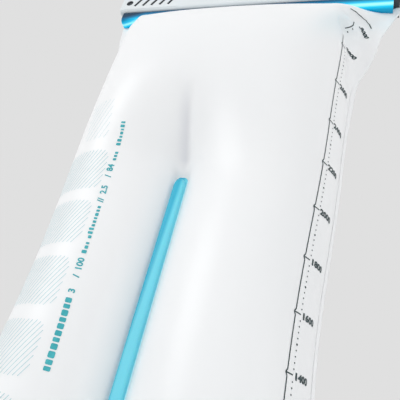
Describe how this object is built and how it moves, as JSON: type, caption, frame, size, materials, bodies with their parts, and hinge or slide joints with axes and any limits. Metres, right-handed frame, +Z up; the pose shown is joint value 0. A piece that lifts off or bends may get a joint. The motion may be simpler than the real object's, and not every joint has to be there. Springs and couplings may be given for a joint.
{
  "type": "hydration bladder",
  "caption": "Soft-walled drinking water bag with a fold-over slider closure, a lockable centre baffle, a quick-release port, a drink tube and a bite valve.",
  "frame": {"origin": "centre of the hang hole in the slider's tab", "axes": "+Z up, towards the closure; X across the width, +X towards the rails' end stop; -Y out of the printed front"},
  "size_m": [0.2737, 0.103, 0.5607],
  "materials": {
    "film": "milky soft film with a satin sheen",
    "slider_plastic": "satin moulded light grey",
    "rail_plastic": "glossy translucent blue",
    "baffle_plastic": "satin cyan, soft",
    "dark_plastic": "moulded dark grey",
    "clear_plastic": "frosted",
    "steel": "bright",
    "seal_rubber": "matt",
    "tube_plastic": "clear flexible",
    "silicone": "matt silicone"
  },
  "bodies": {
    "bladder": {"front_rail": "rail_plastic", "rear_rail": "rail_plastic", "rail_end_stop": "dark_plastic", "front_panel": "film", "rear_panel": "film", "port_flange": "clear_plastic", "port_socket": "dark_plastic", "spring_retainer": "clear_plastic", "poppet_spring": "steel", "button_spring": "steel"},
    "closure_slider": {"slider": "slider_plastic"},
    "baffle_front": {"front_baffle": "baffle_plastic"},
    "baffle_rear": {"rear_baffle": "baffle_plastic"},
    "button": {"release_button": "baffle_plastic", "latch_plate": "steel"},
    "poppet": {"check_poppet": "clear_plastic", "poppet_seal": "seal_rubber"},
    "plug": {"plug_stem": "dark_plastic", "plug_oring": "seal_rubber", "elbow_oring": "seal_rubber"},
    "hose": {"swivel_elbow": "dark_plastic", "drink_tube": "tube_plastic", "valve_stem": "dark_plastic", "valve_oring": "seal_rubber"},
    "bite_valve": {"twist_collar": "dark_plastic", "bite_sheath": "silicone"}
  },
  "joints": [
    {"name": "slider_slide", "type": "slide", "parent": "bladder", "child": "closure_slider", "axis": [-1, 0, 0], "range_m": [0, 0.195]},
    {"name": "baffle_release", "type": "slide", "parent": "bladder", "child": "baffle_front", "axis": [0, -1, 0], "range_m": [0, 0.01]},
    {"name": "baffle_release_rear", "type": "slide", "parent": "bladder", "child": "baffle_rear", "axis": [0, 1, 0], "range_m": [0, 0.01]},
    {"name": "button_press", "type": "slide", "parent": "bladder", "child": "button", "axis": [0, 0, -1], "range_m": [0, 0.002], "deforming": ["button_spring"]},
    {"name": "plug_slide", "type": "slide", "parent": "bladder", "child": "plug", "axis": [0, -1, 0], "range_m": [0, 0.025], "deforming": ["poppet_spring"]},
    {"name": "poppet_slide", "type": "slide", "parent": "bladder", "child": "poppet", "axis": [0, -1, 0], "range_m": [0, 0.003], "deforming": ["poppet_spring"]},
    {"name": "hose_swivel", "type": "hinge", "parent": "plug", "child": "hose", "pos_m": [0, -0.05, -0.395], "axis": [0, -1, 0], "continuous": true},
    {"name": "bite_twist", "type": "hinge", "parent": "hose", "child": "bite_valve", "pos_m": [0.14, -0.05, -0.445], "axis": [0, 0, 1], "range_deg": [0, 90]}
  ],
  "couplings": [
    {"joint": "baffle_release_rear", "follows": "baffle_release", "ratio": 1},
    {"joint": "poppet_slide", "follows": "plug_slide", "ratio": 0.12}
  ]
}
